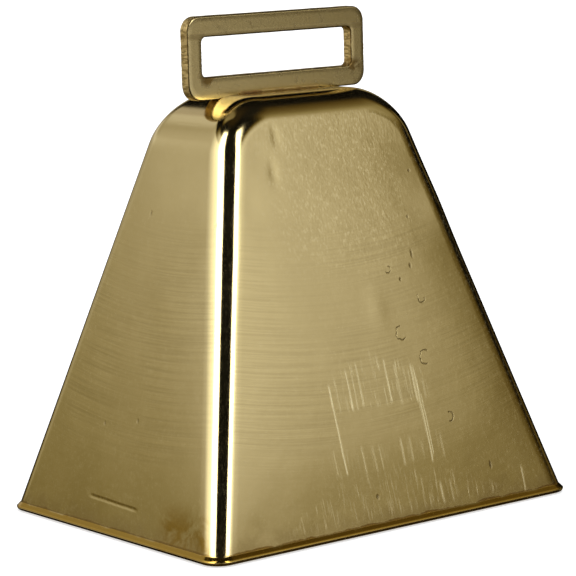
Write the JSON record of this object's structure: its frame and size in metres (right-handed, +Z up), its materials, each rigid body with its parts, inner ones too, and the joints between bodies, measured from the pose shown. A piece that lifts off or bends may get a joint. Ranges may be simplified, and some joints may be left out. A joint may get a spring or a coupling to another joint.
{
  "type": "cowbell",
  "caption": "Four-sided drawn sheet-metal cowbell with a flat strap loop on its crown and a clapper that swings both ways inside.",
  "frame": {"origin": "middle of the mouth plane, on the surface that the bell stands on", "axes": "+Z up to the strap loop, +X along the wide walls, +Y through the wide walls from front to back"},
  "size_m": [0.1002, 0.0768, 0.1097],
  "materials": {
    "shell_brass_plate": "polished brass plate on drawn steel, scratched and lightly tarnished",
    "loop_brass_plate": "satin brass plate on stamped steel, with sheared edges",
    "braze": "dull braze metal under the plating",
    "staple_brass_plate": "satin brass plate on steel wire",
    "link_steel": "drawn steel wire, lightly worn",
    "stem_steel": "drawn steel wire, lightly worn",
    "ball_steel": "turned steel, scuffed where it strikes"
  },
  "bodies": {
    "bell": {"bell_shell": "shell_brass_plate", "strap_loop": "loop_brass_plate", "loop_braze_front": "braze", "loop_braze_rear": "braze", "clapper_staple": "staple_brass_plate", "staple_braze_left": "braze", "staple_braze_right": "braze"},
    "link": {"clapper_link": "link_steel"},
    "clapper": {"clapper_stem": "stem_steel", "clapper_ball": "ball_steel"}
  },
  "joints": [
    {"name": "link_swing", "type": "hinge", "parent": "bell", "child": "link", "pos_m": [0, 0, 0.082], "axis": [1, 0, 0], "range_deg": [-18.8, 18.8]},
    {"name": "clapper_swing", "type": "hinge", "parent": "link", "child": "clapper", "pos_m": [0, 0, 0.072], "axis": [0, 1, 0], "range_deg": [-33.3, 33.3]}
  ]
}
